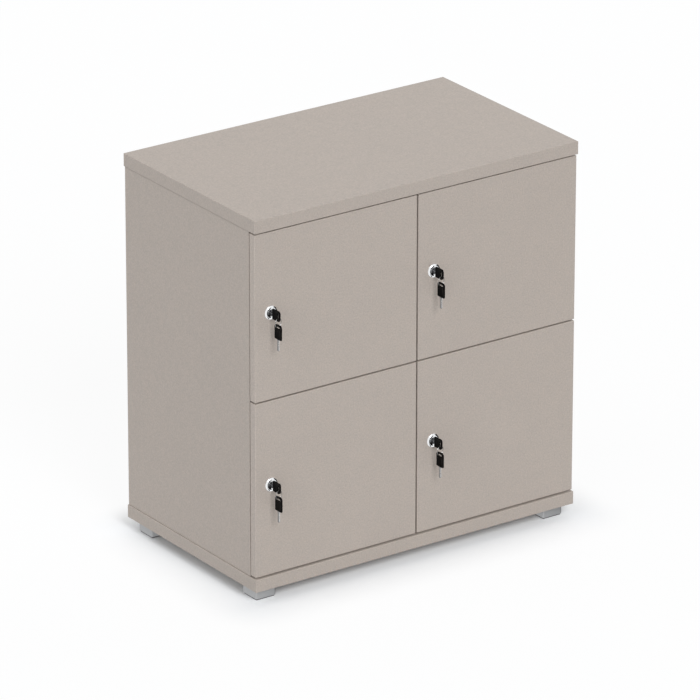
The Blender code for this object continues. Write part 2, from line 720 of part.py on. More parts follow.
def make_fronts(wood, steel, chrome, plastic, wire):
    """The four doors, each with its hinges, its lock, the key in it and the spare on the ring."""
    cup, link, housing, key, ring = hinge_cup(), hinge_link(), lock_housing(), make_key(), make_ring()
    arms = {"left": hinge_arm(HALF_OVERLAY), "right": hinge_arm(FULL_OVERLAY)}
    plugs = {
        "left": lock_plug(LOCK_FROM_EDGE - FULL_OVERLAY),
        "right": lock_plug(partition_lock_side()),
    }
    edges = {"left": -DOOR_GAP / 2, "right": CASE_END}
    ring_drop = RING_RADIUS - RING_WIRE - RING_PLAY
    spare_drop = RING_RADIUS - RING_WIRE - SPARE_PLAY + HOLE_WIDTH / 2
    for level, door in (("upper", UPPER_DOOR), ("lower", LOWER_DOOR)):
        middle = (door[0] + door[1]) / 2
        slab = make_door(door[1] - door[0], LOCK_ABOVE_MIDDLE)
        for side, edge in edges.items():
            name = f"{level}_{side}"
            corner = Vector((edge, DOOR_FRONT, middle))
            arm_pin = corner + ARM_PIN.to_3d()
            door_pin = corner + DOOR_PIN.to_3d()
            links = pivot(f"{name}_links_pivot", arm_pin)
            swing = pivot(f"{name}_door_pivot", door_pin, links)
            add(f"{name}_door", slab, wood, door_pin, swing)
            for end, height in door_heights(door).items():
                rise = Vector((0, 0, height - middle))
                add(f"{name}_{end}_hinge_arm", arms[side], steel, arm_pin + rise)
                add(f"{name}_{end}_hinge_link", link, steel, arm_pin + rise, links)
                add(f"{name}_{end}_hinge_cup", cup, steel, door_pin + rise, swing)
            lock = Vector((edge - DOOR_WIDTH + LOCK_FROM_EDGE, DOOR_FRONT, lock_height(door)))
            turn = pivot(f"{name}_lock_axis", lock, swing)
            add(f"{name}_lock_housing", housing, chrome, lock, swing)
            add(f"{name}_lock_plug", plugs[side], chrome, lock, turn)
            hole = lock - Vector((0, HOLE_FRONT, 0))
            slide = pivot(f"{name}_key_slide", hole, turn)
            add(f"{name}_key", key, plastic, hole, slide)
            edge_of_hole = hole - Vector((0, 0, HOLE_LENGTH / 2))
            ring_pivot = pivot(f"{name}_ring_pivot", edge_of_hole, slide)
            centre = edge_of_hole - Vector((0, 0, ring_drop))
            add(f"{name}_key_ring", ring, wire, centre, ring_pivot)
            spare_pivot = pivot(f"{name}_spare_pivot", centre, ring_pivot)
            spare = centre - Vector((0, 0, spare_drop))
            add(f"{name}_spare_key", key, plastic, spare, spare_pivot, (-math.pi / 2, 0, 0))


def main():
    for item in list(bpy.data.objects):
        bpy.data.objects.remove(item)
    wood = material("melamine_board", (0.56, 0.50, 0.43), 0.55)
    steel = material("hinge_steel", (0.62, 0.62, 0.60), 0.35, 1.0)
    chrome = material("lock_chrome", (0.80, 0.80, 0.80), 0.18, 1.0)
    plastic = material("key_plastic", (0.02, 0.02, 0.02), 0.45)
    wire = material("ring_wire", (0.70, 0.70, 0.69), 0.25, 1.0)
    silver = material("foot_silver", (0.50, 0.50, 0.49), 0.45, 0.3)
    make_carcass(wood)
    make_feet(silver)
    make_fronts(wood, steel, chrome, plastic, wire)


main()
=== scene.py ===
import math

import bmesh
import bpy
import numpy as np
from mathutils import Matrix, Vector


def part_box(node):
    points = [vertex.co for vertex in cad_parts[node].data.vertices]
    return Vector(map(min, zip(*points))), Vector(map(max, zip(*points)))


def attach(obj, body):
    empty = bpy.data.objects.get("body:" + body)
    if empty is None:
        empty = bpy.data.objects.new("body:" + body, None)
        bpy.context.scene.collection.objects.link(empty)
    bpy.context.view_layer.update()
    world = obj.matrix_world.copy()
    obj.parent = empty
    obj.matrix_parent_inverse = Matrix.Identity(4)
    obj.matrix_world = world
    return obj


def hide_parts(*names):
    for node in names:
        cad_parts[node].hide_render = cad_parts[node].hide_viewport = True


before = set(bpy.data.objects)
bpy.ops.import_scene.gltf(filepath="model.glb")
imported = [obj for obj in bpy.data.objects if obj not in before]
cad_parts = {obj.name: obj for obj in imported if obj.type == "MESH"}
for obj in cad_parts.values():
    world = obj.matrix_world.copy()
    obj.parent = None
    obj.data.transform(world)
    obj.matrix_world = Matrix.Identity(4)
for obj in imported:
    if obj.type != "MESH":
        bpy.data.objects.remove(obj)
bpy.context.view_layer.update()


# Camera. A long lens about twelve metres off, to the left of the doors and above the locker, as furniture
# is photographed for a catalogue: the front, the left side and the top show, and uprights stay parallel.
picture_width = 700
focal_pixels = 6847.0
eye = (-6.66197, -9.48147, 5.06003)
forward = np.array((0.53185705, 0.75849123, -0.37658881))
rightward = np.array((0.81902613, -0.57375515, 0.00110596))

camera = bpy.data.objects.new("camera", bpy.data.cameras.new("camera"))
bpy.context.collection.objects.link(camera)
camera.data.sensor_width = 36
camera.data.lens = focal_pixels * camera.data.sensor_width / picture_width
camera.data.clip_start, camera.data.clip_end = 0.1, 200
turn = np.eye(4)
turn[:3, 0], turn[:3, 1], turn[:3, 2], turn[:3, 3] = rightward, np.cross(rightward, forward), -forward, eye
camera.matrix_world = Matrix(turn.tolist())
bpy.context.scene.camera = camera
bpy.context.scene.view_settings.view_transform = "Standard"


# Boards. Chipboard faced on both sides with warm grey-beige melamine that has a faint cloudy print and a
# fine pearl grain. A thin tape of the same decor is glued along the edges and leaves a hairline seam; on the
# doors the tape, and the band it shows along the faces' edges, are lighter, partly the tape's own tone and
# partly a painted highlight along the arris.
# Where a slot is milled for a lock's cam, the brown chipboard core shows.
class Value:
    """A shader socket. An operator on it adds the Math node that does the same."""

    def __init__(self, nodes, socket):
        self.nodes, self.socket = nodes, socket

    def math(self, operation, *operands):
        return self.nodes.add("Math", {"operation": operation}, dict(enumerate(operands)))

    def __add__(self, other):
        return self.math("ADD", self, other)

    def __sub__(self, other):
        return self.math("SUBTRACT", self, other)

    def __rsub__(self, other):
        return self.math("SUBTRACT", other, self)

    def __mul__(self, other):
        return self.math("MULTIPLY", self, other)

    def __pow__(self, other):
        return self.math("POWER", self, other)

    def __abs__(self):
        return self.math("ABSOLUTE", self)

    def least(self, other):
        return self.math("MINIMUM", self, other)

    def most(self, other):
        return self.math("MAXIMUM", self, other)

    __radd__, __rmul__ = __add__, __mul__


class Nodes:
    """The shader nodes of a material or of the world."""

    def __init__(self, owner):
        owner.use_nodes = True
        self.owner, self.tree = owner, owner.node_tree
        self.tree.nodes.clear()

    def add(self, kind, settings=None, sockets=None, output=0):
        """Adds a node, sets it, then fills its sockets with values or links, and gives one of its outputs."""
        made = self.tree.nodes.new("ShaderNode" + kind)
        for name, setting in (settings or {}).items():
            setattr(made, name, setting)
        for name, value in (sockets or {}).items():
            if isinstance(value, Value):
                self.tree.links.new(value.socket, made.inputs[name])
            else:
                made.inputs[name].default_value = value
        return Value(self, made.outputs[output]) if made.outputs else None

    def step(self, value, low, high):
        """0 below low and 1 above high, smooth between them."""
        return self.add(
            "MapRange",
            {"interpolation_type": "SMOOTHSTEP"},
            {"Value": value, "From Min": low, "From Max": high},
        )

    def mix(self, share, first, second):
        """The first colour where share is 0 and the second where it is 1."""
        return self.add("Mix", {"data_type": "RGBA"}, {0: share, 6: first, 7: second}, output=2)

    def shade(self, colour, factor):
        """The colour made lighter or darker by a factor."""
        colour = colour if isinstance(colour, Value) else colour[:3]
        return self.add("VectorMath", {"operation": "SCALE"}, {0: colour, "Scale": factor})


class Finish(Nodes):
    """A material's nodes, with patterns made from the object's own coordinates."""

    def __init__(self, name):
        super().__init__(bpy.data.materials.new(name))
        self.place = self.add("TexCoord", output="Object")
        self.xyz = [self.add("SeparateXYZ", sockets={0: self.place}, output=k) for k in range(3)]

    def noise(self, scale, detail=2.0, stretch=(1, 1, 1)):
        """Noise about zero, with its features stretched along the axes."""
        place = self.add("Mapping", sockets={"Vector": self.place, "Scale": stretch})
        return self.add("TexNoise", sockets={"Vector": place, "Scale": scale, "Detail": detail}) - 0.5

    def bump(self, height, distance):
        """The normal of a surface raised by height times distance, in metres."""
        return self.add("Bump", sockets={"Strength": 1.0, "Distance": distance, "Height": height})

    def done(self, **sockets):
        """The finished material, its Principled shader filled by socket name, with _ for a space."""
        named = {name.replace("_", " "): value for name, value in sockets.items()}
        shader = self.add("BsdfPrincipled", sockets=named)
        self.add("OutputMaterial", sockets={"Surface": shader})
        return self.owner


board_warm = (0.434, 0.379, 0.336, 1)
board_cool = (0.421, 0.374, 0.338, 1)
core_light = (0.50, 0.36, 0.22, 1)
core_dark = (0.24, 0.15, 0.08, 1)
tape_thick = 0.0012
seam_half = 0.00012
seam_dark = 0.16
slot_soft = 0.00001


def melamine(node, taped=True, tape_and_highlight_tone=0.0, slots=()):
    """Melamine board: grain and faint clouds in the colour, the tape's seam a set way in from the wide
    faces' edges, the tape a shade lighter or darker than the board by its tone, where a lighter tone is
    partly the tape's own and partly a painted highlight along the arris, and chipboard inside the
    slots, each given by its lowest and highest corner."""
    finish = Finish(f"melamine_{node}")
    cloud = finish.noise(9, 2)
    patch = finish.noise(60, 3)
    grain = finish.noise(360, 2)
    pearl = finish.noise(1500, 1)
    fleck = finish.noise(420, 1)
    colour = finish.mix(finish.step(fleck + patch * 0.3, -0.2, 0.2), board_cool, board_warm)
    tone = cloud * 0.05 + patch * 0.06 + grain * 0.5 + pearl * 0.15 + 1
    if taped:
        low, high = (np.array(corner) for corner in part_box(node))
        wide = [k for k in range(3) if k != int(np.argmin(high - low))]
        ins = [(high[k] - low[k]) / 2 - abs(finish.xyz[k] - (high[k] + low[k]) / 2) for k in wide]
        from_edge = ins[0].least(ins[1])
        seam = 1 - finish.step(abs(from_edge - tape_thick), 0.4 * seam_half, 1.6 * seam_half)
        # A lighter tone paints a highlight along the arris, on the tape and on the band at the faces' edges.
        tape_and_highlight_band = 1 - finish.step(from_edge, 0.9 * tape_thick, tape_thick)
        tone = tone * (1 - seam * seam_dark) * (1 + tape_and_highlight_band * tape_and_highlight_tone)
    colour = finish.shade(colour, tone)
    if slots:
        chips = finish.step(finish.noise(700, 3, (1, 1, 0.35)), -0.1, 0.12)
        raw = None
        for low, high in slots:
            sides = [
                finish.step(finish.xyz[k], low[k] - slot_soft, low[k] + slot_soft)
                * finish.step(finish.xyz[k] * -1, -high[k] - slot_soft, slot_soft - high[k])
                for k in range(3)
            ]
            inside = sides[0] * sides[1] * sides[2]
            raw = inside if raw is None else raw.most(inside)
        colour = finish.mix(raw, colour, finish.mix(chips, core_dark, core_light))
    return finish.done(
        Base_Color=colour,
        Roughness=0.56 + cloud * 0.1 + grain * 0.1,
        Normal=finish.bump(grain * 0.6 + pearl, 0.00006),
    )


def wear(node, material):
    """Gives a CAD node its finish."""
    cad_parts[node].data.materials.clear()
    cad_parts[node].data.materials.append(material)


door_names = [f"{level}_{side}" for level in ("upper", "lower") for side in ("left", "right")]
cam_slot_deep, cam_slot_half, cam_slot_past = 0.0105, 0.0032, 0.004
cam_middle_in, face_skin = 0.0029, 0.0002
slot_boxes = {"left_side": [], "centre_partition": []}
for name in door_names:
    panel = "left_side" if name.endswith("left") else "centre_partition"
    low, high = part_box(f"{name}_lock_plug")
    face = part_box(panel)[1][0]
    middle_y = high[1] - cam_middle_in
    slot_boxes[panel].append((
        (face - cam_slot_deep, middle_y - cam_slot_half, low[2] - cam_slot_past),
        (face - face_skin, middle_y + cam_slot_half, high[2] + cam_slot_past),
    ))
for node in ("top_board", "base_board"):
    wear(node, melamine(node, tape_and_highlight_tone=-0.02))
for node in ("right_side", "left_shelf", "right_shelf"):
    wear(node, melamine(node))
for node, slots in slot_boxes.items():
    wear(node, melamine(node, slots=slots))
wear("back_panel", melamine("back_panel", taped=False))


# Feet. Square mouldings with rounded corners, lacquered satin silver, each screwed up under the base
# board and standing on a thin dark pad of soft plastic that is a little smaller than the foot.
least_radius = 0.00005


def filleted(corners, radii, steps, inset=0.0):
    """An outline with rounded corners, moved inwards by inset. Each corner's arc has its centre on the
    corner's bisector, one radius over the sine of the half angle away, and joins the two sides."""
    corners = np.array(corners, float)
    before = np.roll(corners, 1, 0) - corners
    after = np.roll(corners, -1, 0) - corners
    before /= np.linalg.norm(before, axis=1)[:, None]
    after /= np.linalg.norm(after, axis=1)[:, None]
    half = np.arccos((before * after).sum(1)) / 2
    middle = before + after
    middle /= np.linalg.norm(middle, axis=1)[:, None]
    outward = -np.sign(before[:, 0] * after[:, 1] - before[:, 1] * after[:, 0])
    radius = np.maximum(np.array(radii, float) - outward * inset, least_radius)
    centre = corners + middle * ((outward * inset + radius) / np.sin(half))[:, None]
    start = before * np.cos(half)[:, None] - middle
    end = after * np.cos(half)[:, None] - middle
    first = np.arctan2(start[:, 1], start[:, 0])
    sweep = np.arctan2(start[:, 0] * end[:, 1] - start[:, 1] * end[:, 0], (start * end).sum(1))
    angle = first[:, None] + sweep[:, None] * np.linspace(0, 1, steps + 1)
    arcs = centre[:, None] + radius[:, None, None] * np.stack((np.cos(angle), np.sin(angle)), -1)
    return arcs.reshape(-1, 2)


def shell(name, parts, material, smooth=35):
    """A mesh from grids of points. Each part is (grid, ends): every row of a grid is a closed loop, and the
    rows follow one another; ends is "flat" to close the first and last row, or "joined" to join them."""
    points, faces, start = [], [], 0
    for grid, ends in parts:
        rows, columns = grid.shape[:2]
        index = start + np.arange(rows * columns).reshape(rows, columns)
        lower = index if ends == "joined" else index[:-1]
        upper = np.roll(index, -1, 0) if ends == "joined" else index[1:]
        quads = np.stack((lower, np.roll(lower, -1, 1), np.roll(upper, -1, 1), upper), -1)
        faces += quads.reshape(-1, 4).tolist()
        if ends == "flat":
            faces += [index[0].tolist(), index[-1].tolist()]
        points.append(grid.reshape(-1, 3))
        start += rows * columns
    mesh = bpy.data.meshes.new(name)
    mesh.from_pydata(np.concatenate(points).tolist(), [], faces)
    bm = bmesh.new()
    bm.from_mesh(mesh)
    bmesh.ops.recalc_face_normals(bm, faces=bm.faces)
    bm.to_mesh(mesh)
    bm.free()
    mesh.shade_smooth()
    mesh.set_sharp_from_angle(angle=math.radians(smooth))
    mesh.materials.append(material)
    piece = bpy.data.objects.new(name, mesh)
    bpy.context.collection.objects.link(piece)
    return piece


def fit(piece, body, slot, *replaced):
    """Puts a piece on its body, in place of the CAD nodes that it stands for. The slot is not used."""
    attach(piece, body)
    if replaced:
        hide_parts(*replaced)


foot_round = 0.003
pad_inset, pad_thick = 0.0015, 0.002
foot_rise = np.array((0, pad_thick, pad_thick, 0.0022, 0.0025, 0.0030, 0.0037, 0.0241, 0.0245, 0.0247))
foot_inset = np.array((pad_inset, pad_inset, 0.0009, 0.0005, 0.0002, 0.00005, 0, 0, 0.0001, 0.0004))

finish = Finish("silver_lacquer")
flake = finish.noise(2600, 1)
silver = finish.shade((0.40, 0.405, 0.412, 1), 1 + flake * 0.22 + finish.noise(60, 2) * 0.05)
pad_share = 1 - finish.step(finish.xyz[2], pad_thick, pad_thick + 0.0001)
foot_finish = finish.done(
    Base_Color=finish.mix(pad_share, silver, (0.10, 0.10, 0.102, 1)),
    Roughness=0.34 + flake * 0.12 + pad_share * 0.4,
    Metallic=0.55 * (1 - pad_share),
    Normal=finish.bump(flake, 0.00002),
)
for node in ("front_left_foot", "front_right_foot", "back_left_foot", "back_right_foot"):
    low, high = (np.array(corner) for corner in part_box(node))
    square = [(low[0], low[1]), (high[0], low[1]), (high[0], high[1]), (low[0], high[1])]
    loops = [filleted(square, [foot_round] * 4, 10, inset) for inset in foot_inset]
    heights = np.repeat(foot_rise[:, None], len(loops[0]), 1)
    grid = np.concatenate((np.array(loops), heights[..., None]), -1)
    fit(shell(f"{node}_moulding", [(grid, "flat")], foot_finish), "carcass", "foot", node)


# Hinges. Concealed cup hinges of pressed steel, nickel-plated: the cup and flange in the door, the gooseneck
# link, and the cranked arm clipped on its plate. Pan-head screws with a cross slot fix and adjust them.
plate_setback, plate_thick, trough_thick = 0.037, 0.0026, 0.0061
flange_screw_reach, plate_screw_reach, arm_screw_backs = 0.0245, 0.0165, (0.0085, 0.0205)
screw_radius, screw_sunk, flange_screw_height, arm_screw_height = 0.0034, 0.0001, 0.0014, 0.0016

finish = Finish("nickel_plate")
streak = finish.noise(420, 2, (1, 1, 0.12))
stain = finish.noise(55, 3)
nickel = finish.done(
    Base_Color=finish.shade((0.66, 0.65, 0.62, 1), 1 + stain * 0.2 + streak * 0.12),
    Roughness=0.30 + stain * 0.25 + streak * 0.12,
    Metallic=1.0,
    Normal=finish.bump(streak, 0.00001),
)
finish = Finish("screw_zinc")
screw_finish = finish.done(
    Base_Color=finish.shade((0.60, 0.61, 0.62, 1), 1 + finish.noise(900, 2) * 0.3),
    Roughness=0.32 + finish.noise(500, 2) * 0.2,
    Metallic=1.0,
)


def screw_heads(name, places, outward, radius, height):
    """Pan heads on their places. Rings of a disc rise by height times the root of 1 - radius share^4, less a
    cross, which is the smooth overlap of two bars, sunk into the middle."""
    share = np.concatenate((np.linspace(0.04, 0.9, 12), (0.95, 0.985, 1, 1)))[:, None]
    angle = np.linspace(0, math.tau, 40, endpoint=False)[None]
    a, b = share * np.cos(angle) * radius, share * np.sin(angle) * radius
    rise = height * (0.35 + 0.65 * np.sqrt(np.clip(1 - share ** 4, 0, 1))) + 0 * a
    rise[-1] = 0
    bar = np.clip(1.5 - 4.2 * np.minimum(abs(a), abs(b)) / radius, 0, 1)
    bar = bar * np.clip(3.2 - 4.6 * np.maximum(abs(a), abs(b)) / radius, 0, 1)
    rise = rise - 0.55 * height * bar
    outward = np.array(outward, float)
    side = np.array((0, 0, 1.0))
    other = np.cross(outward, side)
    head = a[..., None] * side + b[..., None] * other + rise[..., None] * outward
    return shell(name, [(head + np.array(place), "flat") for place in places], screw_finish, 50)


panel_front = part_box("right_side")[0][1]
arm_screws = []
for name in door_names:
    flange_screws = []
    for end in ("top", "bottom"):
        for part in ("arm", "link", "cup"):
            wear(f"{name}_{end}_hinge_{part}", nickel)
        low, high = (np.array(corner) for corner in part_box(f"{name}_{end}_hinge_cup"))
        middle = (low + high) / 2
        flange_screws += [
            (middle[0], high[1] - screw_sunk, middle[2] + way * flange_screw_reach) for way in (-1, 1)
        ]
        low, high = (np.array(corner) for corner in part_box(f"{name}_{end}_hinge_arm"))
        middle = (low + high) / 2
        plate_face, trough = high[0] - plate_thick, high[0] - trough_thick
        arm_screws += [
            (plate_face, panel_front + plate_setback, middle[2] + way * plate_screw_reach) for way in (-1, 1)
        ]
        arm_screws += [(trough, high[1] - back, middle[2]) for back in arm_screw_backs]
    screws = screw_heads(f"{name}_flange_screws", flange_screws, (0, 1, 0), screw_radius, flange_screw_height)
    fit(screws, f"{name}_door", "hinge")
screws = screw_heads("hinge_arm_screws", arm_screws, (-1, 0, 0), screw_radius, arm_screw_height)
fit(screws, "carcass", "hinge")


# Doors. The same melamine board as the carcass, 16 mm, taped on all four edges and bored from behind for
# the hinge cups and straight through for the lock.
# The doors' tape is made lighter: partly its own tone, partly a painted highlight along the arris.
for name in door_names:
    wear(f"{name}_door", melamine(f"{name}_door", tape_and_highlight_tone=0.05))


# Locks. A die-cast cylinder, chrome-plated. Its round rosette has a wide domed rim, and in it a shallow
# conical dish: a chrome insert pressed into the rosette, and a cap with the key slot on the plug, painted
# dark grey as painted shade and dark reflection. The threaded barrel goes through the door, and a
# hexagonal nut draws it tight. The plug turns the cam behind.
rosette_radius, rosette_height, rosette_edge, rosette_back = 0.0135, 0.0034, 0.0004, 0.0002
crest_radius, dish_radius, dish_slope, dish_round = 0.0096, 0.0093, 0.27, 0.0002
barrel_radius, barrel_depth, bore_radius = 0.0090, 0.0265, 0.0066
nut_flats, nut_front, nut_thick, nut_ease, nut_face_share = 0.022, 0.0163, 0.004, 0.0006, 0.97
thread_pitch, thread_deep, thread_runout = 0.0015, 0.0004, 0.001
seat_radius, seat_place, seat_ease, insert_play = dish_radius, -0.0016, 0.0001, 0.00004
cap_play, cap_face_radius, cap_back = 0.0003, 0.00355, -0.0009
key_slot_halves = (0.0013, 0.0036)
turned_steps = 112

finish = Finish("lock_chrome")
haze = finish.noise(240, 2)
chrome = finish.done(
    Base_Color=finish.shade((0.86, 0.87, 0.88, 1), 1 + haze * 0.04),
    Roughness=0.05 + haze * 0.05,
    Metallic=1.0,
)


def plug_metal(name, colour):
    """Finely turned metal of a colour, with its lines running along the plug."""
    finish = Finish(name)
    turned_line = finish.noise(1500, 1, (1, 0.05, 1))
    return finish.done(
        Base_Color=finish.shade(colour, 1 + turned_line * 0.15),
        Roughness=0.22 + turned_line * 0.15,
        Metallic=1.0,
        Normal=finish.bump(turned_line, 0.000008),
    )


plug_zinc = plug_metal("plug_zinc", (0.62, 0.62, 0.63, 1))
# The cap is the plug's turned metal painted dark grey: painted shade and dark reflection in the dish.
cap_grey = plug_metal("cap_grey", (0.15, 0.15, 0.155, 1))


def revolved(profile, centre):
    """The profile of (radius, place) points turned about the Y axis through the centre."""
    angle = np.linspace(0, math.tau, turned_steps, endpoint=False)[None]
    radius, place = profile[:, :1], profile[:, 1:]
    loops = np.stack((radius * np.cos(angle), place + 0 * angle, radius * np.sin(angle)), -1)
    return loops + np.array(centre)


quarter = np.linspace(0, math.pi / 2, 20)
shoulder = np.stack((
    crest_radius + (rosette_radius - crest_radius) * np.cos(quarter),
    -rosette_edge - (rosette_height - rosette_edge) * np.sin(quarter),
), -1)


def dish(radii):
    """The dish's place at each radius: the rim's level, bent softly into a cone inside the dish's radius."""
    inside = dish_radius - radii
    return dish_slope * (inside + np.sqrt(inside ** 2 + dish_round ** 2)) / 2 - rosette_height


thread_count = int((barrel_depth - 2 * thread_runout) / thread_pitch)
thread = np.linspace(barrel_depth - thread_runout, thread_runout, thread_count * 4)
ridges = barrel_radius - thread_deep * (1 + np.cos(math.tau * thread / thread_pitch)) / 2


def dished(radii, wall_end):
    """The profile of a ring with the dish as its face and a wall down to the given place at either side."""
    faces = np.stack((radii, dish(radii)), -1)
    return np.concatenate(([(radii[0], wall_end)], faces, [(radii[-1], wall_end)]))


insert_profile = dished(np.linspace(seat_radius - insert_play, bore_radius + insert_play, 12), seat_place)
cap_radii = np.linspace(bore_radius - cap_play, cap_face_radius, 8)
housing_profile = np.concatenate((
    [(rosette_radius, -rosette_back)],
    shoulder,
    [(seat_radius + seat_ease, -rosette_height), (seat_radius, seat_ease - rosette_height)],
    [(seat_radius, seat_place), (bore_radius, seat_place), (bore_radius, barrel_depth)],
    [(barrel_radius - thread_deep, barrel_depth)],
    np.stack((ridges, thread), -1),
    [(barrel_radius, -rosette_back)],
))
hexagon = np.radians(np.arange(6) * 60)
nut_corners = np.stack((np.cos(hexagon), np.sin(hexagon)), -1) * nut_flats / math.sqrt(3)
nut_outer = filleted(nut_corners, [nut_ease] * 6, 3)
nut_angle = np.arctan2(nut_outer[:, 1], nut_outer[:, 0])
nut_inner = np.stack((np.cos(nut_angle), np.sin(nut_angle)), -1) * (barrel_radius - thread_deep)


def slotted_cap(centre):
    """The plug's cap: the dish's cone, a flat face round the key slot, the slot's wall and a flat back. The
    slot reaches, at each angle, the lesser of its half thickness over the cosine and half width over the
    sine."""
    angle = np.linspace(0, math.tau, turned_steps, endpoint=False)
    cosine, sine = np.maximum(abs(np.cos(angle)), 1e-6), np.maximum(abs(np.sin(angle)), 1e-6)
    slot = np.minimum(key_slot_halves[0] / cosine, key_slot_halves[1] / sine)
    round_loops = np.repeat(np.append(cap_radii[0], cap_radii)[:, None], turned_steps, 1)
    radii = np.concatenate((round_loops, [slot, slot]))
    places = np.concatenate(([cap_back], dish(cap_radii), [dish(cap_radii[-1]), cap_back]))[:, None]
    return np.stack((radii * np.cos(angle), places + 0 * radii, radii * np.sin(angle)), -1) + np.array(centre)


def nut(centre):
    """A hexagonal nut: its outline, eased at both faces, joined to the bore's circle."""
    shares = ((nut_face_share, 0), (1, nut_ease), (1, nut_thick - nut_ease), (nut_face_share, nut_thick))
    loops = [(nut_outer * share, nut_front + deep) for share, deep in shares]
    loops += [(nut_inner, nut_front + nut_thick), (nut_inner, nut_front)]
    rows = [np.stack((ring[:, 0], deep + 0 * ring[:, 0], ring[:, 1]), -1) for ring, deep in loops]
    return np.array(rows) + np.array(centre)


for name in door_names:
    low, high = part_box(f"{name}_lock_housing")
    door_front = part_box(f"{name}_door")[0][1]
    centre = (low[0] + high[0]) / 2, door_front, (low[2] + high[2]) / 2
    housing_parts = [(revolved(housing_profile, centre), "joined"), (nut(centre), "joined")]
    housing = shell(f"{name}_lock_case", housing_parts, chrome)
    fit(housing, f"{name}_door", "lock", f"{name}_lock_housing")
    insert = shell(f"{name}_lock_dish", [(revolved(insert_profile, centre), "joined")], chrome)
    fit(insert, f"{name}_door", "lock")
    cap = shell(f"{name}_plug_cap", [(slotted_cap(centre), "joined")], cap_grey)
    fit(cap, f"{name}_plug", "lock")
    wear(f"{name}_lock_plug", plug_zinc)


# Keys. A nickel-plated steel blade with a shoulder and cut notches, moulded into a flat black plastic head
# that has a raised rim, a sunk panel on both faces and an oval hole for the ring. The spare's head is
# longer and covers the neck, which stays bare on the key in the lock.
key_length, head_width, head_thick = 0.050, 0.020, 0.0032
lock_head_length, spare_head_length = 0.0228, 0.0280
head_radii = (0.005, 0.0020, 0.0020, 0.005)
hole_from_end, hole_length, hole_width = 0.0055, 0.011, 0.0032
rim_width, panel_deep, edge_round = 0.0014, 0.0004, 0.0006
neck_width, neck_sunk, step_length = 0.008, 0.0003, 0.0001
shoulder_length, shoulder_width = 0.004, 0.0065
blade_length, blade_width, blade_thick, blade_tip, blade_ease = 0.024, 0.0050, 0.0022, 0.0016, 0.0002
groove_middle, groove_half, groove_deep = 0.0003, 0.0007, 0.00035
notch_places = np.array((0.0086, 0.0132, 0.0178))
notch_depths = np.array((0.0006, 0.0011, 0.0004))
notch_half, notch_flat_half = 0.0013, 0.0006
# The darker steel for the blade's flats is painted shade and dark reflection.
edge_steel, flat_steel_painted_dark = (0.64, 0.64, 0.64, 1), (0.26, 0.265, 0.27, 1)

finish = Finish("black_plastic")
tooth = finish.noise(2200, 2)
black_plastic = finish.done(
    Base_Color=finish.shade((0.0015, 0.0015, 0.0016, 1), 1 + finish.noise(300, 2) * 0.5),
    Roughness=0.36 + tooth * 0.2,
    Specular_IOR_Level=0.06,
    Normal=finish.bump(tooth, 0.00002),
)


def blade_steel(node, middle):
    """Nickel-plated steel, rougher and painted dark on the blade's two flats, which are one half thickness to
    either side of the middle, as painted shade and dark reflection there, and bright along its edges."""
    finish = Finish(f"blade_steel_{node}")
    brushed = finish.noise(1800, 2)
    # The flats' mask marks where shade and dark reflection are painted, and makes them rougher.
    flat = finish.step(abs(finish.xyz[0] - middle), blade_thick / 2 - 0.0003, blade_thick / 2 - 0.0001)
    return finish.done(
        Base_Color=finish.shade(finish.mix(flat, edge_steel, flat_steel_painted_dark), 1 + brushed * 0.12),
        Roughness=0.20 + flat * 0.12 + brushed * 0.15,
        Metallic=1.0,
        Normal=finish.bump(brushed, 0.000006),
    )


def box_corners(low, high):
    """The four corners of an upright rectangle, in turn."""
    return [low, (high[0], low[1]), high, (low[0], high[1])]


hole_corners = box_corners((-hole_width / 2, -hole_length / 2), (hole_width / 2, hole_length / 2))
hole_radii = [hole_width / 2.02] * 4
blade_start = key_length - hole_from_end - blade_length


def key_head(head_length):
    """Loops round the head from the hole's wall, over one face's panel and rim, round the edge and back over
    the other face, as points (thickness, along, across). All loops have points at the same angles about the
    hole's middle; both coordinates are interpolated by angle, so that each point lies on its outline."""
    far_end = head_length - hole_from_end
    head_corners = box_corners((-hole_from_end, -head_width / 2), (far_end, head_width / 2))
    outlines = filleted(head_corners, head_radii, 8), filleted(hole_corners, hole_radii, 8)
    angles = np.unique(np.concatenate([np.arctan2(ring[:, 1], ring[:, 0]).round(4) for ring in outlines]))

    def around(corners, radii, inset):
        ring = filleted(corners, radii, 12, inset)
        at = np.arctan2(ring[:, 1], ring[:, 0])
        return np.stack([np.interp(angles, at, ring[:, k], period=math.tau) for k in range(2)], -1)

    half = head_thick / 2
    floor = half - panel_deep
    hole_loops = ((0, floor - 0.0005), (0.00005, floor - 0.0003), (0.0003, floor))
    rim_loops = [
        (rim_width + out, floor + share * panel_deep)
        for out, share in ((0.0004, 0), (0.0003, 0.1), (0.0001, 0.9), (0, 1))
    ]
    edge_loops = [
        (edge_round * (1 - math.sin(angle)), half - edge_round * (1 - math.cos(angle)))
        for angle in np.linspace(0, math.pi / 2, 6)
    ]
    face = [(around(hole_corners, hole_radii, -out), thick) for out, thick in hole_loops]
    face += [(around(head_corners, head_radii, inset), thick) for inset, thick in rim_loops + edge_loops]
    loops = face + [(ring, -thick) for ring, thick in reversed(face)]
    rows = [np.concatenate((thick + 0 * ring[:, :1], ring), -1) for ring, thick in loops]
    return np.array(rows)


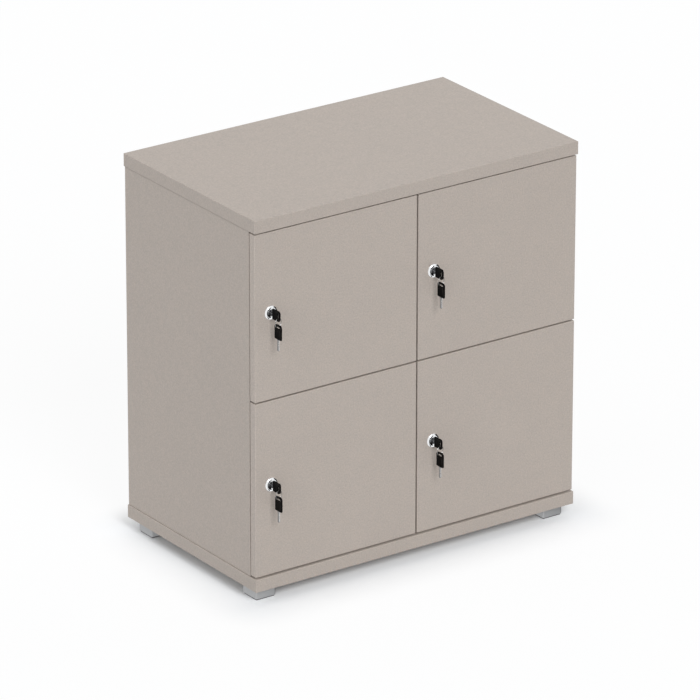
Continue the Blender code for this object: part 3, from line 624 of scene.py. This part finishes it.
def key_blade(head_length):
    """Cross-sections along the neck, from inside the head, and the blade. The upper edge drops at the neck's
    end, the shoulder and the tip; the lower edge does too, and is cut into by trapezoid notches. A groove
    runs along both flats."""
    step = np.array((0, step_length))
    notch_edges = np.array((-notch_half, -notch_flat_half, notch_flat_half, notch_half))
    along = np.unique(np.concatenate((
        (min(head_length - hole_from_end - blade_start, 0) - neck_sunk, -step_length),
        np.linspace(2 * step_length, blade_length, 121),
        step,
        shoulder_length + step,
        (notch_places[:, None] + notch_edges).ravel(),
    )))
    shoulder_half = np.where(along <= shoulder_length, shoulder_width, blade_width) / 2
    shoulder_half = np.where(along <= 0, neck_width / 2, shoulder_half)
    taper = np.clip(along - (blade_length - blade_tip), 0, None)
    notch_rise = (notch_half - abs(along[:, None] - notch_places)) / (notch_half - notch_flat_half)
    cut = np.clip(notch_rise, 0, 1) * notch_depths
    upper = shoulder_half - taper
    lower = -shoulder_half + taper + cut.max(1)
    half = blade_thick / 2
    groove = [(half, 1), (half - groove_deep, 0.6), (half - groove_deep, -0.6), (half, -1)]
    across = [
        (half - blade_ease, upper),
        (half, upper - blade_ease),
        *((thick, 0 * along + groove_middle + groove_half * share) for thick, share in groove),
        (half, lower + blade_ease),
        (half - blade_ease, lower),
    ]
    loop = across + [(-thick, edge) for thick, edge in reversed(across)]
    section = [np.stack((thick + 0 * along, along + blade_start, edge), -1) for thick, edge in loop]
    return np.stack(section, 1)


lock_key = key_head(lock_head_length), key_blade(lock_head_length)
hanging = np.array(((1, 0, 0), (0, 0, -1), (0, 1, 0)))
spare_key = key_head(spare_head_length) @ hanging, key_blade(spare_head_length) @ hanging
for name in door_names:
    low, high = (np.array(corner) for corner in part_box(f"{name}_key"))
    middle = (low + high) / 2
    in_lock = np.array((middle[0], low[1] + hole_from_end, middle[2]))
    head = shell(f"{name}_key_head", [(lock_key[0] + in_lock, "joined")], black_plastic)
    fit(head, f"{name}_key", "key", f"{name}_key")
    blade_finish = blade_steel(f"{name}_key", middle[0])
    blade = shell(f"{name}_key_blade", [(lock_key[1] + in_lock, "flat")], blade_finish)
    fit(blade, f"{name}_key", "key")
    low, high = (np.array(corner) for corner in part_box(f"{name}_spare_key"))
    middle = (low + high) / 2
    on_ring = np.array((middle[0], middle[1], high[2] - hole_from_end))
    head = shell(f"{name}_spare_head", [(spare_key[0] + on_ring, "joined")], black_plastic)
    fit(head, f"{name}_spare", "key", f"{name}_spare_key")
    blade_finish = blade_steel(f"{name}_spare", middle[0])
    blade = shell(f"{name}_spare_blade", [(spare_key[1] + on_ring, "flat")], blade_finish)
    fit(blade, f"{name}_spare", "key")


# Key rings. A split ring of nickel-plated spring wire wound twice round, so that two turns lie side by side
# and the keys are threaded on between them. It hangs slightly turned about the upright axis.
wire_radius, turn_offset, ring_turn = 0.00026, 0.00027, math.radians(20)
loop_inset, wire_end_angle, crossing_angle = 0.0005, 0.28, 0.5

finish = Finish("ring_nickel")
ring_finish = finish.done(
    Base_Color=finish.shade((0.36, 0.36, 0.36, 1), 1 + finish.noise(700, 2) * 0.1),
    Roughness=0.16 + finish.noise(900, 2) * 0.1,
    Metallic=1.0,
)


def split_ring(centre, radius):
    """A tube round a path that circles twice, stepping from one side to the other halfway: the offset along
    the axis is a smooth step of the angle. The wire's section is a circle across the path."""
    angle = np.linspace(wire_end_angle, 2 * math.tau - wire_end_angle, 260)
    crossing = np.clip((angle - math.tau) / crossing_angle + 0.5, 0, 1)
    offset = turn_offset * (2 * crossing ** 2 * (3 - 2 * crossing) - 1)
    around = np.linspace(0, math.tau, 12, endpoint=False)
    outward = np.stack((np.sin(angle), 0 * angle, np.cos(angle)), -1)
    path = outward * radius + np.stack((0 * angle, offset, 0 * angle), -1)
    cosine, sine = np.cos(around)[None, :, None], np.sin(around)[None, :, None]
    wire = cosine * outward[:, None] + sine * np.array((0, 1, 0))
    turned = np.array((
        (math.cos(ring_turn), math.sin(ring_turn), 0),
        (-math.sin(ring_turn), math.cos(ring_turn), 0),
        (0, 0, 1),
    ))
    return (path[:, None] + wire * wire_radius) @ turned + np.array(centre)


for name in door_names:
    low, high = (np.array(corner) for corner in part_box(f"{name}_key_ring"))
    loop_radius = (high[2] - low[2]) / 2 - loop_inset
    ring = shell(f"{name}_split_ring", [(split_ring((low + high) / 2, loop_radius), "flat")], ring_finish)
    fit(ring, f"{name}_ring", "ring", f"{name}_key_ring")


# Floor and light. A pale studio floor that runs off to white under an even sky. A soft lamp high in front
# and a little to the left lights the doors and the top, a wide one the left side, and a weak one the back.
# Shiny parts show the front lamp, a black card that stands far to the right, and white sky all round.
sky_strength = 0.22
lamps = (
    ("front_lamp", (-0.18, -1.0, 0.72), 28, 2.14),
    ("side_lamp", (-1.0, -0.05, 0.45), 80, 1.37),
    ("back_lamp", (0.8, 1.0, 0.8), 100, 1.1),
)
floor_bounce = 0.62
floor_seen = 0.995
floor_glow, glow_from, glow_to = 0.92, -0.01, 0.11
floor_half = 40
card_place, card_across, card_up = 6, (-7.2, 3.2), (-6.2, 3)

finish = Finish("floor_white")
camera_ray, glossy_ray, through_ray = (
    finish.add("LightPath", output=f"Is {kind} Ray") for kind in ("Camera", "Glossy", "Transmission")
)
seen = camera_ray.most(glossy_ray).most(through_ray)
low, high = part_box("base_board")
reach = [abs(finish.xyz[k] - (low[k] + high[k]) / 2) - (high[k] - low[k]) / 2 for k in range(2)]
beyond = (reach[0].most(0) ** 2 + reach[1].most(0) ** 2) ** 0.5 + reach[0].most(reach[1]).least(0)
glow = seen * finish.step(beyond, glow_from, glow_to) * floor_glow
white, cool_white = (1, 1, 1, 1), (0.96, 0.98, 1, 1)
floor_finish = finish.done(
    Base_Color=finish.shade(cool_white, (floor_bounce + seen * (floor_seen - floor_bounce)) * (1 - glow)),
    Roughness=1.0,
    Specular_IOR_Level=0.0,
    Emission_Color=finish.shade(white, glow * floor_seen),
    Emission_Strength=1.0,
)

finish = Finish("card_black")
card_finish = finish.done(
    Base_Color=finish.shade((0.006, 0.006, 0.006, 1), 1 + finish.noise(30, 2) * 0.3),
    Roughness=0.9,
    Specular_IOR_Level=0.1,
)


def stage_sheet(name, corners, material):
    """A flat sheet of the studio."""
    mesh = bpy.data.meshes.new(name)
    mesh.from_pydata(corners, [], [(0, 1, 2, 3)])
    mesh.materials.append(material)
    sheet = bpy.data.objects.new(name, mesh)
    bpy.context.collection.objects.link(sheet)
    return sheet


floor_corners = box_corners((-floor_half, -floor_half), (floor_half, floor_half))
floor = stage_sheet("floor", [(*corner, 0) for corner in floor_corners], floor_finish)
floor.visible_glossy = False
card_corners = box_corners((card_across[0], card_up[0]), (card_across[1], card_up[1]))
card = stage_sheet("black_card", [(card_place, *corner) for corner in card_corners], card_finish)
card.visible_camera = card.visible_diffuse = card.visible_shadow = False

studio = Nodes(bpy.data.worlds.new("studio"))
bpy.context.scene.world = studio.owner
camera_ray, glossy_ray = (studio.add("LightPath", output=f"Is {kind} Ray") for kind in ("Camera", "Glossy"))
strength = sky_strength + camera_ray.most(glossy_ray) * (1 - sky_strength)
sky = studio.add("Background", sockets={"Color": white, "Strength": strength})
studio.add("OutputWorld", sockets={"Surface": sky})

for name, toward, angle, strength in lamps:
    lamp = bpy.data.objects.new(name, bpy.data.lights.new(name, "SUN"))
    lamp.data.energy = strength
    lamp.data.angle = math.radians(angle)
    lamp.visible_glossy = name == "front_lamp"
    lamp.rotation_mode = "QUATERNION"
    lamp.rotation_quaternion = Vector(toward).to_track_quat("Z", "Y")
    bpy.context.collection.objects.link(lamp)
